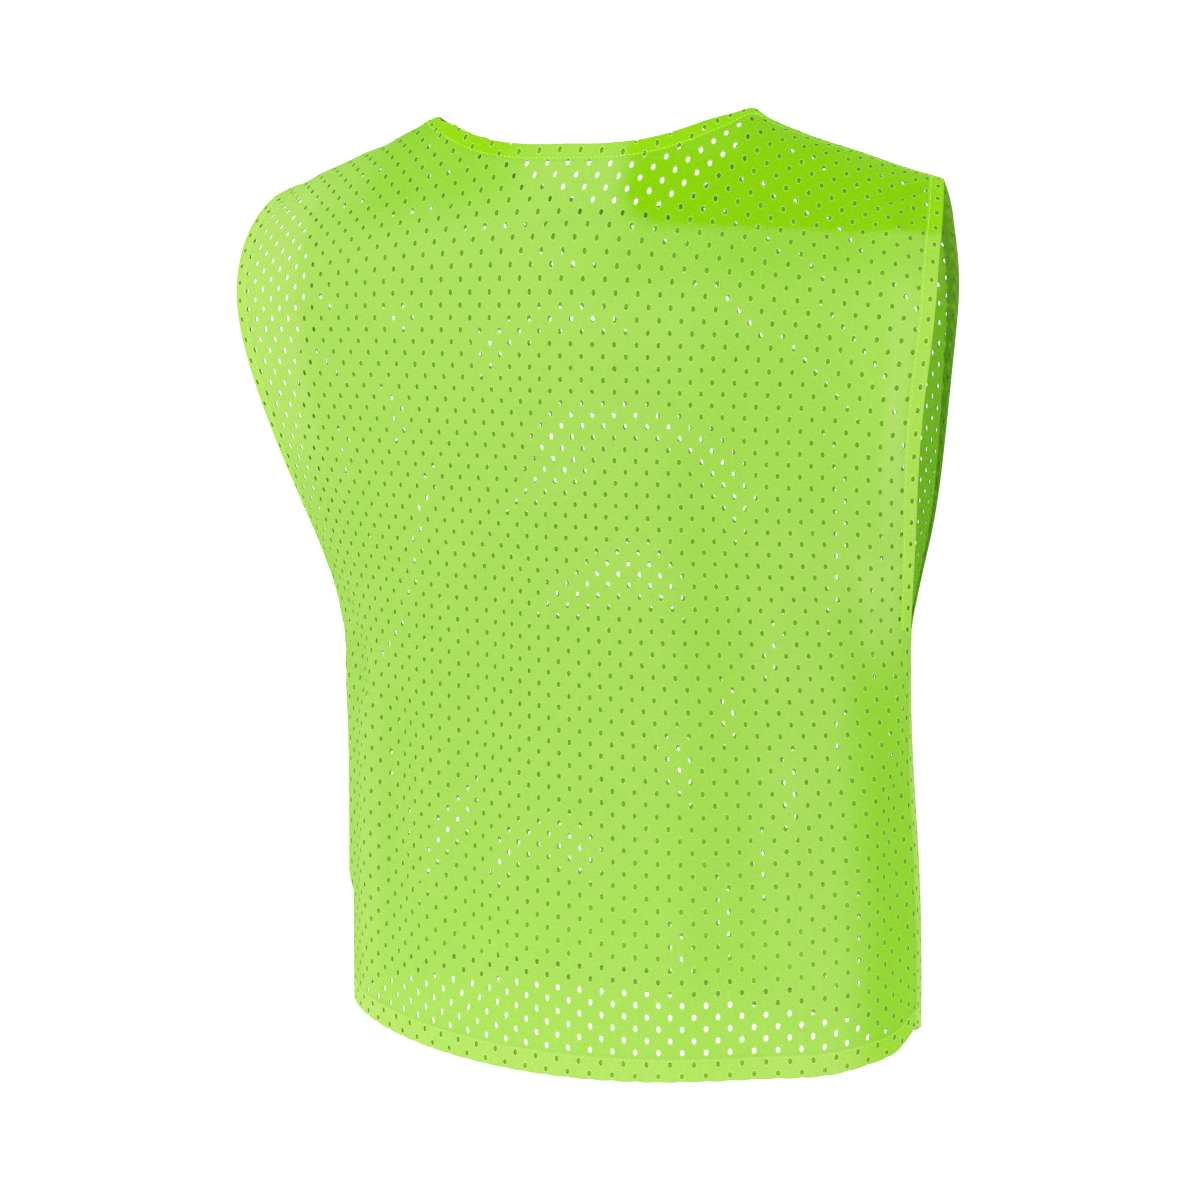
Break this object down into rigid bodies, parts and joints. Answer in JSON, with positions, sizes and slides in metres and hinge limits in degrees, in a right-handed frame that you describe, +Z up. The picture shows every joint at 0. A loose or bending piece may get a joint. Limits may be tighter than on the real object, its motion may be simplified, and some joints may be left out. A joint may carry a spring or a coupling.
{
  "type": "mesh training bib, filled out as worn, with nobody in it",
  "caption": "Sleeveless open-mesh knit training bib, hollow as worn: back and front panels, turned neck, armhole and bottom hems.",
  "frame": {"origin": "on the middle line of the body, level with the high neck points, where the shoulders hold the bib up", "axes": "+Z up, -Y to the wearer's front, +X to the wearer's left"},
  "size_m": [0.5066, 0.2438, 0.6311],
  "materials": {
    "mesh_knit": "lime green open mesh knit, soft and slightly see-through",
    "turned_hem_knit": "the same knit in two layers, deeper in colour"
  },
  "bodies": {
    "root": {"back_panel": "mesh_knit", "front_panel": "mesh_knit", "back_neck_hem": "turned_hem_knit", "back_bottom_hem": "turned_hem_knit", "back_left_armhole_hem": "turned_hem_knit", "back_right_armhole_hem": "turned_hem_knit", "front_neck_hem": "turned_hem_knit", "front_bottom_hem": "turned_hem_knit", "front_left_armhole_hem": "turned_hem_knit", "front_right_armhole_hem": "turned_hem_knit"}
  },
  "joints": []
}
